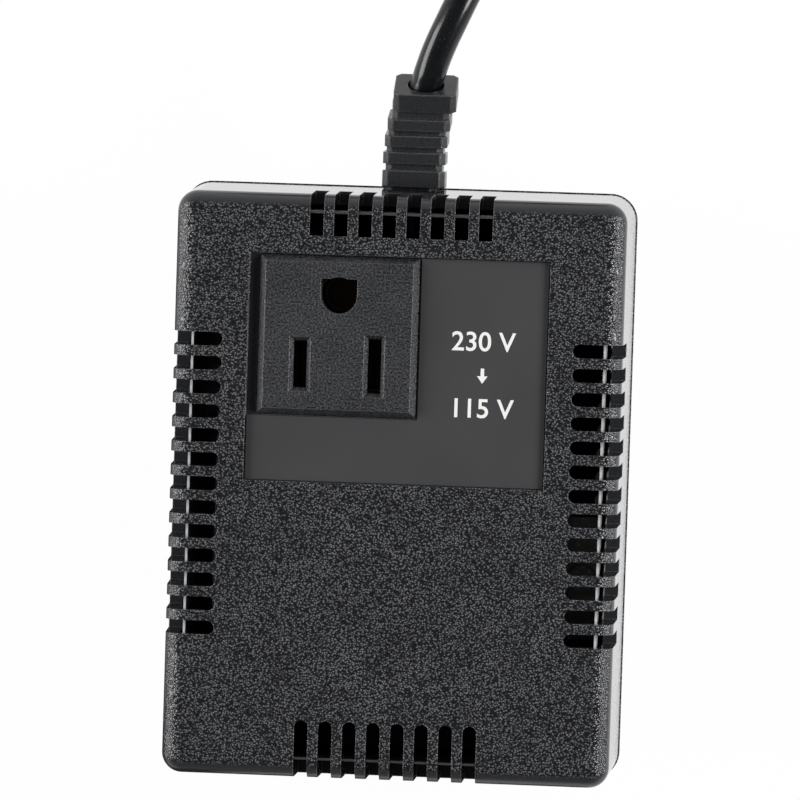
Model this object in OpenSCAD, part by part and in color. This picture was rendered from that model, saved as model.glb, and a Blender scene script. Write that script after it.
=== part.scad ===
// Travel voltage converter: a mains transformer in a two-part moulded case, with an outlet on its face.
// Millimetres. The case lies on its back with the outlet up (+Z), and the cord leaves towards +Y.
// The origin is on the supporting surface, under the middle of the case.

/* [Case] */
// Width of the front cover at the joint between the covers
case_w = 78.8; // [78:0.2:88]
// Length of the front cover at the joint between the covers
case_l = 102; // [101:0.5:114]
// Height of the front cover above the joint
front_h = 28; // [27:0.5:34]
// Height of the rear cover below the joint
rear_h = 27.8; // [27:0.2:34]
// Thickness of the moulded walls
wall = 2.4; // [2:0.1:2.8]
// Radius of the upright corners at the joint
corner_r = 4.5; // [4.5:0.1:7]
// Radius of the rounded edge round each face
edge_r = 3; // [2:0.1:3.2]
// Draft of the walls in degrees
draft = 2.3; // [1:0.1:2.6]

/* [Joint between the covers] */
// Height of the rear cover's tongue
tongue_h = 2; // [1.5:0.1:3]
// Thickness of the tongue
tongue_t = 1; // [0.8:0.1:1.2]
// Clearance between the tongue and the front cover
tongue_gap = 0.15; // [0.1:0.05:0.3]
// Distance that the rear cover's rim stands out past the front cover
rim_step = 0.2; // [0.1:0.05:0.4]
// Depth of the shadow groove along the joint
groove_d = 0.4; // [0.2:0.1:0.6]
// Height of the shadow groove
groove_h = 0.5; // [0.3:0.1:0.8]

/* [Vents] */
// Distance between neighbouring slots
vent_pitch = 4.12; // [3.8:0.02:4.3]
// Width of a slot
vent_w = 2.35; // [2:0.05:2.6]
// Number of slots along each long side
side_vents = 13; // [9:2:13]
// Number of slots along each short side
end_vents = 8; // [4:2:10]
// Reach of the long sides' slots in from the wall
side_vent_len = 8.5; // [6:0.5:8.5]
// Reach of the slots at the cord's end
top_vent_len = 7.1; // [5:0.1:8]
// Reach of the slots at the far end
bottom_vent_len = 10; // [7:0.5:11]
// Depth of the slots down the walls
vent_drop = 12; // [8:0.5:14]
// Reach of the rear cover's slots in from the wall
rear_vent_len = 5.5; // [4:0.5:6]

/* [Label recess] */
// Width of the recess
recess_w = 51.3; // [50:0.1:56]
// Length of the recess
recess_l = 39; // [38.6:0.1:40]
// Distance of the recess from the cord's end of the case
recess_top = 11.2; // [11:0.1:11.6]
// Depth of the recess
recess_d = 1; // [0.6:0.1:1.2]
// Thickness of the label
label_t = 0.3; // [0.2:0.05:0.4]
// Clearance round the label
label_gap = 0.2; // [0.1:0.05:0.3]

/* [Outlet] */
// Distance of the outlet's middle from the left edge of the case
outlet_left = 29.2; // [28.8:0.1:30]
// Distance of the outlet's middle from the cord's end of the case
outlet_top = 25.1; // [25:0.1:26]
// Width of the raised block where it leaves the recess
block_base = 27.3; // [26.5:0.1:27.5]
// Width of the raised block's face
block_face = 25.2; // [24.5:0.1:26]
// Height of the block above the face of the case
block_rise = 0.6; // [0.2:0.1:1]
// Clearance of the block in the front cover
block_gap = 0.1; // [0.05:0.05:0.2]
// Width of the flange behind the front cover
flange_w = 30.3; // [29.5:0.1:31]
// Thickness of the flange
flange_t = 1.5; // [1.2:0.1:2]
// Distance between the blade slots
blade_pitch = 12.7; // [12.7:0.1:13]
// Distance of the blade slots below the middle of the block
blade_drop = 4.95; // [4.5:0.05:5.2]
// Width of a blade slot
blade_slot_w = 2.25; // [2:0.05:2.4]
// Length of the line slot
line_slot_l = 8; // [7.4:0.1:8.4]
// Length of the neutral slot
neutral_slot_l = 9.3; // [8.8:0.1:9.6]
// Widening at the mouth of a blade slot, on each side
lead_in = 0.65; // [0.4:0.05:0.8]
// Depth of the widened mouth
lead_in_d = 0.9; // [0.6:0.1:1.2]
// Distance from the blade slots up to the ground hole
ground_rise = 11.9; // [11.8:0.1:12]
// Width of the ground hole
ground_hole_w = 6.2; // [5.4:0.1:6.4]
// Height of the ground hole's flat top above its middle
ground_flat = 2.8; // [2.5:0.1:3]

/* [Contacts] */
// Height of the contact carrier
carrier_h = 10; // [9:0.5:11]
// Thickness of the carrier's floor
carrier_floor = 1.5; // [1.2:0.1:2]
// Clearance of a contact in its pocket
contact_gap = 0.3; // [0.2:0.05:0.4]
// Thickness of the contact strip
strip_t = 0.6; // [0.5:0.05:0.7]
// Room between the leaves for a blade
blade_t = 1.5; // [1.4:0.05:1.6]
// Width of the contact strip
strip_w = 7.6; // [6.5:0.1:8]
// Height of the contact leaves
leaf_h = 4.6; // [4:0.2:7.6]
// Width of a solder tail
tail_w = 3; // [2.5:0.1:3.5]
// Length of a solder tail below the carrier
tail_l = 5; // [4:0.5:6]
// Inner diameter of the ground sleeve
sleeve_d = 4.9; // [4.8:0.05:5]
// Radius of a carrier ear
ear_r = 2.8; // [2.6:0.1:3]
// Thickness of a carrier ear
ear_t = 2.5; // [2:0.1:3]
// Distance of the ears from the middle of the outlet, across
ear_dx = 18.4; // [18:0.1:19]
// Distance of the ears from the middle of the outlet, along
ear_dy = 4.3; // [4:0.1:5]
// Length of the front cover's posts for the ears
ear_post_l = 5.6; // [5:0.1:6]

/* [Screws and feet] */
// Inset of the case screws from the side walls
screw_inset_x = 9.6; // [9.4:0.1:11]
// Inset of the case screws from the end walls
screw_inset_y = 9.4; // [9.2:0.1:11]
// Shank diameter of the case screws
screw_d = 2.9; // [2.6:0.1:3.2]
// Head diameter of the case screws
head_d = 5.8; // [5.4:0.1:6]
// Head height of the case screws
head_h = 2.2; // [1.8:0.1:2.4]
// Length of the case screws under the head
screw_l = 25; // [22:1:28]
// Depth of a screw well from the back
well_d = 12.8; // [10:0.2:14]
// Wall of the pillars round the wells
pillar_wall = 1.3; // [1.1:0.1:1.3]
// Wall of the posts round the screws
post_wall = 2; // [1.6:0.1:2]
// Clearance round a sunk screw head
head_gap = 0.4; // [0.3:0.05:0.5]
// Clearance round a screw
screw_gap = 0.05; // [0.03:0.01:0.1]
// Shank diameter of the small screws
small_screw_d = 2.6; // [2.2:0.1:2.8]
// Head diameter of the small screws
small_head_d = 4.8; // [4.2:0.1:5]
// Head height of the small screws
small_head_h = 1.6; // [1.4:0.1:2]
// Length of the small screws under the head
small_screw_l = 5; // [4.5:0.1:5.2]
// Diameter of a rubber foot
foot_d = 10; // [8:0.5:10]
// Height that the feet stand out
foot_out = 1.2; // [0.8:0.1:2]
// Depth of the feet in their seats
foot_in = 0.8; // [0.5:0.1:1]
// Distance between the feet across the case
foot_pitch_x = 54; // [46:1:54]
// Distance between the feet along the case
foot_pitch_y = 60; // [52:1:62]

/* [Transformer] */
// Clearance above the core's frame
core_headroom = 1.9; // [1.6:0.1:2.4]
// Clearance beside the feet of the core's frame
core_side_gap = 0.97; // [0.8:0.01:1.4]
// Clearance behind the bobbin
core_end_gap = 1.17; // [0.9:0.01:2]
// Distance from the middle of the outlet to the front of the bobbin
core_front_gap = 16.4; // [16.2:0.1:17]
// Height of the core's seat above the case floor
core_lift = 3; // [2.6:0.1:3.4]
// Thickness of the core's steel frame
frame_t = 1; // [0.8:0.1:1.2]
// Width of the steel frame along the stack
frame_w = 22; // [16:1:26]
// Least reach of the frame's feet past the core
least_foot = 7; // [6.6:0.1:7.4]
// Distance of the frame's screw holes from the ends of its feet
frame_hole = 2.7; // [2.6:0.1:3]
// Radius of the seats under the frame's feet
frame_seat_r = 3; // [2.6:0.1:3.2]
// Clearance between the core and what goes round it
core_gap = 0.1; // [0.05:0.05:0.2]
// Clearance of the bobbin on the core's middle leg
bobbin_gap = 0.3; // [0.2:0.05:0.4]
// Thickness of the bobbin's tube
bobbin_t = 1; // [0.8:0.1:1.2]
// Thickness of the bobbin's flanges
bobbin_flange_t = 1.2; // [1:0.1:1.5]
// Overhang of the bobbin's flanges past the stack
bobbin_reach = 9.5; // [9.2:0.1:9.6]
// Distance of the winding from the ends of the bobbin's flanges
bobbin_lip = 1.5; // [1.2:0.1:2]
// Room between the winding and the core's outer legs
winding_room = 1; // [0.9:0.1:1.6]
// Thickness of the tape over the winding
tape_t = 0.4; // [0.2:0.05:0.4]
// Diameter of a terminal pin
pin_d = 1.2; // [1:0.1:1.4]
// Distance of the first terminal pin from the face of the core's middle leg
pin_first = 4; // [3.8:0.1:4.4]
// Distance of the last terminal pin from the core's outer leg
pin_last = 2.2; // [2:0.1:2.6]
// Distance of the terminal pins from the stack
pin_out = 7; // [6.6:0.1:7.2]
// Height of the terminal pins above the flange
pin_h = 3; // [2.5:0.1:3.5]
// Width of the thermal protector
protector_w = 8; // [7:0.5:9]
// Thickness of the thermal protector
protector_t = 4; // [3.5:0.1:4]
// Length of the thermal protector
protector_l = 18; // [16:0.5:20]
// Height of the thermal protector above the bobbin's lower flange
protector_lift = 1.1; // [0.8:0.1:1.6]
// Distance of the thermal protector's edge from the second terminal pin
protector_side = 1.2; // [1.2:0.1:1.6]
// Thickness of the insulating liner
liner_t = 0.4; // [0.3:0.05:0.5]
// Clearance between the liner and the case
liner_gap = 0.5; // [0.4:0.05:0.6]
// Diameter of an insulated lead
lead_d = 1.6; // [1.2:0.1:1.8]

/* [Strain relief] */
// Width of the boot
boot_w = 10.9; // [10:0.1:12]
// Depth of the boot
boot_d = 8.6; // [8:0.1:9]
// Depth of the grooves between the ribs
boot_groove = 0.5; // [0.3:0.1:0.9]
// Chamfer of the boot's corners
boot_chamfer = 0.9; // [0.6:0.1:1.8]
// Length of the straight base block
boot_base = 3.1; // [2.5:0.1:4]
// Length of one rib and its groove
rib_pitch = 3.3; // [2.8:0.05:3.6]
// Length of one rib
rib_l = 2; // [1.6:0.1:2.2]
// Number of ribs
ribs = 3; // [2:1:4]
// Length of the groove before the end collar
end_groove = 2.2; // [1.2:0.1:2.6]
// Length of the end collar
collar_l = 3.4; // [2.8:0.1:5]
// Length of the cord inside the end collar
bore_l = 2.4; // [1.8:0.1:2.6]
// Clearance of the cord in the end collar
bore_gap = 0.3; // [0.2:0.05:0.4]
// Angle that the boot bends up through
boot_bend = 25; // [10:1:30]
// Angle that the boot turns to the right
boot_turn = 17; // [0:1:30]
// Distance of the boot to the right of its neck
boot_side = 0.4; // [0:0.1:0.6]
// Width of the neck through the case wall
neck_w = 8.6; // [7.5:0.1:9]
// Height of the neck through the case wall
neck_h = 7; // [6:0.1:7.4]
// Clearance of the neck in the case wall
neck_gap = 0.1; // [0.05:0.05:0.2]
// Thickness of the stop inside the wall
stop_t = 2; // [1.5:0.1:2.2]
// Width of the stop past the neck on each side
stop_lip = 1.7; // [1.2:0.1:2]

/* [Cord and plug] */
// Diameter of the power cord
cord_d = 5.6; // [5.2:0.1:5.8]
// Length of the sheathed end inside the case
sheath_in = 6.5; // [6:0.5:8]
// Whole turns of the put-away coil
coil_rounds = 4; // [3:1:4]
// Mean radius of the coil
coil_r = 31; // [30:0.5:33]
// Distance between neighbouring turns
coil_pitch = 7.1; // [7:0.1:7.4]
// Distance between the two layers
coil_layer = 6.6; // [6.5:0.1:7]
// Thickness of the tie
tie_t = 0.4; // [0.3:0.05:0.5]
// Width of the tie
tie_w = 5; // [3:0.5:8]
// Clearance between the tie and the cord
tie_gap = 0.1; // [0.05:0.05:0.2]
// Width of the plug
plug_w = 35; // [33:0.5:36]
// Thickness of the plug
plug_t = 13.7; // [12:0.1:14.5]
// Length of the plug's grip
plug_l = 24; // [20:0.5:28]
// Length of the plug's ribbed nose
nose_l = 12; // [10:0.5:16]
// Diameter of the plug's nose
nose_d = 9; // [8:0.5:10]
// Diameter of a plug pin
plug_pin_d = 4; // [3.9:0.05:4.2]
// Length of a plug pin
plug_pin_l = 19; // [18:0.5:20]
// Distance between the plug pins
plug_pin_pitch = 18.6; // [18:0.1:19.2]
// Length of the insulating sleeve on a pin
pin_sleeve_l = 10; // [8:0.5:11]
// Thickness of the sleeve
pin_sleeve_t = 0.4; // [0.3:0.05:0.5]

/* [Hidden] */
$fn = 48;

// Overlap of fused features, and run of a cut past the surface it opens
join = 0.5;

// Levels
joint_z = foot_out + rear_h;
face_z = joint_z + front_h;
plate_z = face_z - wall;
floor_z = foot_out + wall;
recess_z = face_z - recess_d;

// Case outline
cavity_edge_r = 0.4;
tallest = max(front_h, rear_h);
case_corner_r = max(corner_r, edge_r + tallest * tan(draft) + 0.2);
cavity_corner_r = max(corner_r - wall + 0.3, cavity_edge_r + tallest * tan(draft) + 0.2);
// The tongue stands in the wall, a step away from its inner face
tongue_step = 0.2;
tongue_w = case_w - 2 * (wall - tongue_t - tongue_step);
tongue_l = case_l - 2 * (wall - tongue_t - tongue_step);
tongue_r = cavity_corner_r + 0.6;
face_half_w = case_w / 2 - (front_h - edge_r) * tan(draft);
face_half_l = case_l / 2 - (front_h - edge_r) * tan(draft);
rear_w = case_w + 2 * rim_step;
rear_l = case_l + 2 * rim_step;
back_half_w = rear_w / 2 - (rear_h - edge_r) * tan(draft);
screw_x = case_w / 2 - screw_inset_x;
screw_y = case_l / 2 - screw_inset_y;
pillar_r = head_d / 2 + head_gap + pillar_wall;
web_t = 2.5;
seat_z = foot_out + well_d;
post_r = screw_d / 2 + post_wall;

// Liner, which stands inside the narrowest part of both covers
liner_w = case_w - 2 * wall - 2 * (tallest - wall) * tan(draft) - 2 * liner_gap;
liner_l = case_l - 2 * wall - 2 * (tallest - wall) * tan(draft) - 2 * liner_gap;
liner_r = 2;

// Recess and outlet
recess_y = case_l / 2 - recess_top - recess_l / 2;
outlet_x = outlet_left - case_w / 2;
outlet_y = case_l / 2 - outlet_top;
blade_y = outlet_y - blade_drop;
ground_y = blade_y + ground_rise;
line_x = outlet_x - blade_pitch / 2;
neutral_x = outlet_x + blade_pitch / 2;
block_z = face_z + block_rise;
carrier_top = plate_z - flange_t;
carrier_z = carrier_top - carrier_h;
contact_z = carrier_z + carrier_floor;
clip_w = blade_t + 2 * strip_t;
sleeve_r = sleeve_d / 2 + strip_t;
tail_z = carrier_z - tail_l;
ear_z = plate_z - ear_post_l - ear_t;
ear_x = [outlet_x - ear_dx, outlet_x + ear_dx];
ear_y = outlet_y + ear_dy;

// Core: the window is one lam wide and three lam high, and the middle leg is two lam wide
core_z = floor_z + core_lift;
core_side_room = liner_w / 2 - liner_t - core_side_gap - core_gap;
core_height_room = plate_z - core_headroom - frame_t - core_gap - core_z;
lam = min(core_height_room / 5, (core_side_room - least_foot) / 3);
bobbin_front = outlet_y - core_front_gap;
bobbin_back = core_end_gap + liner_t - liner_l / 2;
stack = bobbin_front - bobbin_back - 2 * bobbin_reach;
core_y = (bobbin_front + bobbin_back) / 2;
frame_foot = core_side_room - 3 * lam;
winding_t = lam - bobbin_gap - bobbin_t - winding_room;
window_z = core_z + lam;
core_top = core_z + 5 * lam;
frame_x = 3 * lam + core_gap;
frame_hole_x = frame_x + frame_foot - frame_hole;
tube_x = lam + bobbin_gap + bobbin_t;
tube_y = stack / 2 + bobbin_gap + bobbin_t;
bobbin_z = window_z + core_gap;
bobbin_h = 3 * lam - 2 * core_gap;
wound_z = bobbin_z + bobbin_flange_t;
wound_h = bobbin_h - 2 * bobbin_flange_t;
wound_x = tube_x + winding_t;
wound_y = stack / 2 + bobbin_reach - bobbin_lip;
flange_top = bobbin_z + bobbin_h;
pin_y = core_y + stack / 2 + pin_out;
pin_span = 2 * lam - pin_last - lam + pin_first;
pin_x = [for (i = [0:3]) lam - pin_first + i * pin_span / 3];
pin_top = flange_top + pin_h;
protector_x = pin_x[1] + protector_side + protector_w / 2;
protector_y = core_y + wound_y + tape_t + core_gap;
protector_z = wound_z + protector_lift;
protector_top = protector_z + protector_l;

// Strain relief: a straight base block, then an arc up, whose ribs stay level and shift to the right
boot_y = case_l / 2;
boot_arc_l = ribs * rib_pitch + end_groove + collar_l;
boot_arc_r = boot_arc_l * 180 / (PI * boot_bend);
boot_lean = boot_arc_l * tan(boot_turn) * cos(boot_bend) / 2;
function boot_x(distance) = boot_side + boot_lean * pow(distance / boot_arc_l, 2);
boot_tip = [
    boot_x(boot_arc_l - collar_l / 2),
    boot_y + boot_base + boot_arc_r * sin(boot_bend),
    joint_z + boot_arc_r * (1 - cos(boot_bend))
];
boot_way = unit([tan(boot_turn) * cos(boot_bend), cos(boot_bend), sin(boot_bend)]);
cord_start = boot_tip - bore_l * boot_way;
stop_y = boot_y - wall - neck_gap - (neck_h / 2 + stop_lip) * tan(draft) - stop_t;
sheath_y = stop_y - sheath_in;
wire_offset = 1.35;

// Coil: in on the lower layer, up in half a turn, and out on the upper layer
coil_centre = [-4, case_l / 2 + 97];
coil_enter = -25;
coil_leave = 40;
coil_z = cord_d / 2 + tie_t + tie_gap;
coil_angle = 360 * coil_rounds + coil_leave - coil_enter;
wind_angle = (coil_angle - 180) / 2;
coil_out = coil_r + coil_pitch * wind_angle / 720;
coil_in = coil_r - coil_pitch * wind_angle / 720;
coil_steps = ceil(coil_angle / 15);
tie_angle = 130;

// Plug, lying flat
plug_z = plug_t / 2;
tail_l_free = 20;

// Routes of the inner leads, as steps from the points that they start from and lead to
lead_end = [[0, 0, -5], [0, 0, -2], [0, 0, 0]];
pin_loop = [[0, 3.4, 4.2], [0, 2, 5], [0, 0.6, 4], [0, 0, 2], [0, 0, 0]];
live_start = [[0, 0, 0], [0, -2, 0], [0.65, -4.8, -1], [6.65, -12.8, -9]];
live_finish = [[-0.8, 8.5, -5], [-0.2, 3, -7]];
neutral_start = [[0, 0, 0], [0, -2, 0], [0.35, -4.8, -1], [4.35, -11.8, -4], [9.35, -19.8, -4]];
neutral_past_protector = [[-0.3, 1.5, -5], [-0.8, -0.7, 4]];
neutral_finish = [[0, 4.2, 0]];
// The heights of these steps are shares of the rise from the protector to the pin
protector_start = [[0, 0, 0], [0, 0, 4 / 19], [0, 0.9, 7 / 19], [0.8, 1.3, 14 / 19]];
protector_finish = [[-0.2, 4.2, 1]];
line_start = [[0, 5, 0], [-0.7, 8.5, -5.5]];
line_finish = [[22.5, -2.4, -7], [14.5, -1.4, -13], [7.5, -1.4, -15.6], [2, -0.6, -12.6]];
output_neutral_start = [[-0.2, 4.2, 0], [-0.6, 5.4, -5.5]];
output_neutral_finish = [[4.8, -6, -2.6], [1.2, -2.4, -5.6]];
// Route of the cord from the boot down to the coil, as steps from the cord's end of the case
boot_straight = [0.5, 3];
cord_turns = [
    [4.4, 24.9, 34.5], [6.4, 29.5, 34.8], [8.4, 34, 34.3], [10.4, 38.4, 33], [12.3, 42.5, 30.9],
    [14, 46.2, 28], [15.5, 49.4, 24.4], [16.6, 52, 20.3], [17.7, 54.3, 16], [19, 57.1, 12.1],
    [20.6, 60.5, 8.9], [22.3, 64.4, 6.3], [24.3, 68.7, 4.4]
];
landing = 3;

// Paths
function unit(v) = v / norm(v);
function tangent(p, i) =
    i == 0 ? unit(p[1] - p[0])
    : i == len(p) - 1 ? unit(p[i] - p[i - 1])
    : unit(unit(p[i + 1] - p[i]) + unit(p[i] - p[i - 1]));
function first_side(t) = abs(t.z) > 0.9 ? [1, 0, 0] : [0, 0, 1];
function square_to(v, t) = unit(v - (v * t) * t);
function side_vectors(t, i = 0, last = undef) =
    i == len(t) ? []
    : let (v = square_to(is_undef(last) ? first_side(t[0]) : last, t[i]))
      concat([v], side_vectors(t, i + 1, v));

// Points at these steps from a place
function steps_from(place, steps) = [for (step = steps) place + step];
function backwards(p) = [for (i = [len(p) - 1:-1:0]) p[i]];
function pin_tip(i) = [pin_x[i], pin_y, pin_top];

// Coil radius, height and place at an angle along the cord
function coil_radius(a) =
    a < wind_angle ? coil_out - coil_pitch * a / 360
    : a > wind_angle + 180 ? coil_in + coil_pitch * (a - wind_angle - 180) / 360
    : coil_in;
function coil_climb(a) = min(1, max(0, (a - wind_angle) / 180));
function coil_height(a) = coil_z + coil_layer * (1 - cos(180 * coil_climb(a))) / 2;
function coil_point(a) = [
    coil_centre.x + coil_radius(a) * cos(coil_enter + a),
    coil_centre.y + coil_radius(a) * sin(coil_enter + a),
    coil_height(a)
];
function coil_way(a) = [-sin(coil_enter + a), cos(coil_enter + a), 0];
coil_start = coil_point(0) - cord_d * coil_way(0);
coil_end = coil_point(coil_angle) + cord_d * coil_way(coil_angle);
coil_path = concat(
    [coil_start],
    [for (i = [0:coil_steps]) coil_point(coil_angle * i / coil_steps)],
    [coil_end]
);
apart = 8;
coil_gap = min([
    for (i = [0:len(coil_path) - 1]) for (j = [i + apart:1:len(coil_path) - 1])
        norm(coil_path[i] - coil_path[j]) - cord_d
]);
echo(coil_least_gap = coil_gap);

// The tail sinks from the upper layer to the middle of the plug
leave_way = coil_way(coil_angle);
tail_drop = coil_end.z - plug_z;
function tail_sink(u) = tail_drop * (1 - cos(180 * min(1, max(0, (u - 0.15) / 0.7)))) / 2;
function tail_point(u) = coil_end + u * tail_l_free * leave_way - [0, 0, tail_sink(u)];
tail_path = [for (u = [0, 0.15, 0.3, 0.5, 0.7, 0.85, 1]) tail_point(u)];
plug_at = tail_point(1);

module tube(path, d, sides) {
    n = len(path);
    ways = [for (i = [0:n - 1]) tangent(path, i)];
    across = side_vectors(ways);
    points = [
        for (i = [0:n - 1]) for (k = [0:sides - 1])
            let (a = 360 * k / sides)
            path[i] + d / 2 * (cos(a) * across[i] + sin(a) * cross(ways[i], across[i]))
    ];
    skin = [
        for (i = [0:n - 2]) for (k = [0:sides - 1])
            let (a = i * sides + k, b = i * sides + (k + 1) % sides)
            each [[a, a + sides, b + sides], [a, b + sides, b]]
    ];
    last = (n - 1) * sides;
    caps = [for (k = [1:sides - 2]) each [[0, k, k + 1], [last, last + k + 1, last + k]]];
    polyhedron(points = points, faces = concat(skin, caps));
}

// Half of a wall's cross-section: a drafted wall with a rounded upper edge, and a notch at its foot if asked
module wall_profile(reach, h, r, notch_d, notch_h) {
    cz = h - r;
    cx = reach - (r + cz * sin(draft)) / cos(draft);
    notch = [[reach - notch_d, 0], [reach - notch_d, notch_h], [reach - notch_h * tan(draft), notch_h]];
    wall_foot = notch_d > 0 ? notch : [[reach, 0]];
    wall_top = [[cx + r * cos(draft), cz + r * sin(draft)], [cx, cz], [cx, h], [0, h]];
    polygon(concat([[0, 0]], wall_foot, wall_top));
    translate([cx, cz])
        intersection() {
            circle(r);
            polygon([[0, 0], [2 * r * cos(draft), 2 * r * sin(draft)], [2 * r, 2 * r], [0, 2 * r]]);
        }
}

// A block with drafted walls, round upright corners and a rounded upper edge
module drafted_block(w, l, h, upright_r, upper_r, notch_d = 0, notch_h = 0) {
    x = w / 2 - upright_r;
    y = l / 2 - upright_r;
    translate([-x, -y, 0]) cube([2 * x, 2 * y, h]);
    for (side = [0, 1])
        mirror([side, 0, 0])
            translate([x, 0, 0])
                rotate([90, 0, 0])
                    linear_extrude(2 * y, center = true) wall_profile(upright_r, h, upper_r, notch_d, notch_h);
    for (side = [0, 1])
        mirror([0, side, 0])
            translate([0, y, 0])
                rotate([90, 0, 90])
                    linear_extrude(2 * x, center = true) wall_profile(upright_r, h, upper_r, notch_d, notch_h);
    for (side = [0, 1])
        for (end = [0, 1])
            mirror([side, 0, 0])
                mirror([0, end, 0])
                    translate([x, y, 0])
                        rotate_extrude(angle = 90) wall_profile(upright_r, h, upper_r, notch_d, notch_h);
}

// An upright block with round corners
module round_block(w, l, h, r) {
    translate([-w / 2, r - l / 2, 0]) cube([w, l - 2 * r, h]);
    for (y = [-l / 2, l / 2 - r])
        translate([r - w / 2, y, 0]) cube([w - 2 * r, r, h]);
    for (x = [0, 1])
        for (y = [0, 1])
            mirror([x, 0, 0])
                mirror([0, y, 0])
                    translate([w / 2 - r, l / 2 - r, 0]) rotate_extrude(angle = 90) square([r, h]);
}

module round_ring(w, l, h, r, t) {
    difference() {
        round_block(w, l, h, r);
        translate([0, 0, -join]) round_block(w - 2 * t, l - 2 * t, h + 2 * join, max(r - t, 0.2));
    }
}

// A block that narrows from its base to its top on all four sides
module frustum(base_w, base_l, top_w, top_l, h) {
    wide = max(base_w, base_l, top_w, top_l) + 2;
    intersection() {
        rotate([90, 0, 0])
            linear_extrude(wide, center = true)
                polygon([[-base_w / 2, 0], [base_w / 2, 0], [top_w / 2, h], [-top_w / 2, h]]);
        rotate([90, 0, 90])
            linear_extrude(wide, center = true)
                polygon([[-base_l / 2, 0], [base_l / 2, 0], [top_l / 2, h], [-top_l / 2, h]]);
    }
}

module at_case_screws() {
    for (x = [-screw_x, screw_x])
        for (y = [-screw_y, screw_y])
            translate([x, y, 0]) children();
}

module at_feet() {
    for (x = [-foot_pitch_x / 2, foot_pitch_x / 2])
        for (y = [-foot_pitch_y / 2, foot_pitch_y / 2])
            translate([x, y, 0]) children();
}

module at_ears() {
    for (x = ear_x)
        translate([x, ear_y, 0]) children();
}

module at_frame_holes() {
    for (x = [-frame_hole_x, frame_hole_x])
        translate([x, core_y, 0]) children();
}

// A row of slots that run out past the wall, seen from above, along +X
module vent_row(count, inner_end, length, rounded) {
    for (i = [0:count - 1])
        translate([inner_end, (i - (count - 1) / 2) * vent_pitch]) {
            if (rounded)
                translate([vent_w / 2, 0]) circle(d = vent_w);
            translate([rounded ? vent_w / 2 : 0, -vent_w / 2]) square([length, vent_w]);
        }
}

module front_vents() {
    run = 20;
    translate([0, 0, face_z - vent_drop])
        linear_extrude(vent_drop + join) {
            for (turn = [0, 180])
                rotate(turn) vent_row(side_vents, face_half_w - side_vent_len, run, true);
            rotate(90) vent_row(end_vents, face_half_l - top_vent_len, run, false);
            rotate(270) vent_row(end_vents, face_half_l - bottom_vent_len, run, true);
        }
}

module rear_vents() {
    run = 20;
    translate([0, 0, foot_out - join])
        linear_extrude(vent_drop + join)
            for (turn = [0, 180])
                rotate(turn) vent_row(side_vents, back_half_w - rear_vent_len, run, true);
}

// Opening through the end wall for the strain relief's neck
module neck_opening() {
    w = neck_w + 2 * neck_gap;
    h = neck_h + 2 * neck_gap;
    translate([-w / 2, boot_y - 2 * wall, joint_z - h / 2]) cube([w, 3 * wall, h]);
}

module front_cover() {
    color("#232527")
        difference() {
            union() {
                difference() {
                    translate([0, 0, joint_z]) drafted_block(case_w, case_l, front_h, case_corner_r, edge_r);
                    translate([0, 0, joint_z])
                        drafted_block(
                            case_w - 2 * wall, case_l - 2 * wall, front_h - wall, cavity_corner_r, cavity_edge_r
                        );
                    front_vents();
                    // Rebate for the tongue
                    translate([0, 0, joint_z - join])
                        round_block(
                            tongue_w + 2 * tongue_gap, tongue_l + 2 * tongue_gap, tongue_h + tongue_gap + join,
                            tongue_r + tongue_gap
                        );
                }
                at_case_screws() translate([0, 0, joint_z]) cylinder(h = front_h - wall + join, r = post_r);
                at_ears() translate([0, 0, plate_z - ear_post_l])
                    cylinder(h = ear_post_l + join / 2, r = ear_r);
            }
            at_case_screws()
                translate([0, 0, joint_z - join])
                    cylinder(h = seat_z + web_t + screw_l - joint_z + join, r = screw_d / 2 + screw_gap);
            at_ears()
                translate([0, 0, plate_z - ear_post_l - join])
                    cylinder(h = small_screw_l - ear_t + 2 * join, r = small_screw_d / 2 + screw_gap);
            // Label recess and outlet opening
            translate([-recess_w / 2, recess_y - recess_l / 2, recess_z])
                cube([recess_w, recess_l, recess_d + join]);
            translate([outlet_x, outlet_y, plate_z + wall / 2])
                cube([block_base + 2 * block_gap, block_base + 2 * block_gap, 2 * wall], center = true);
            neck_opening();
        }
}

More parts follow.
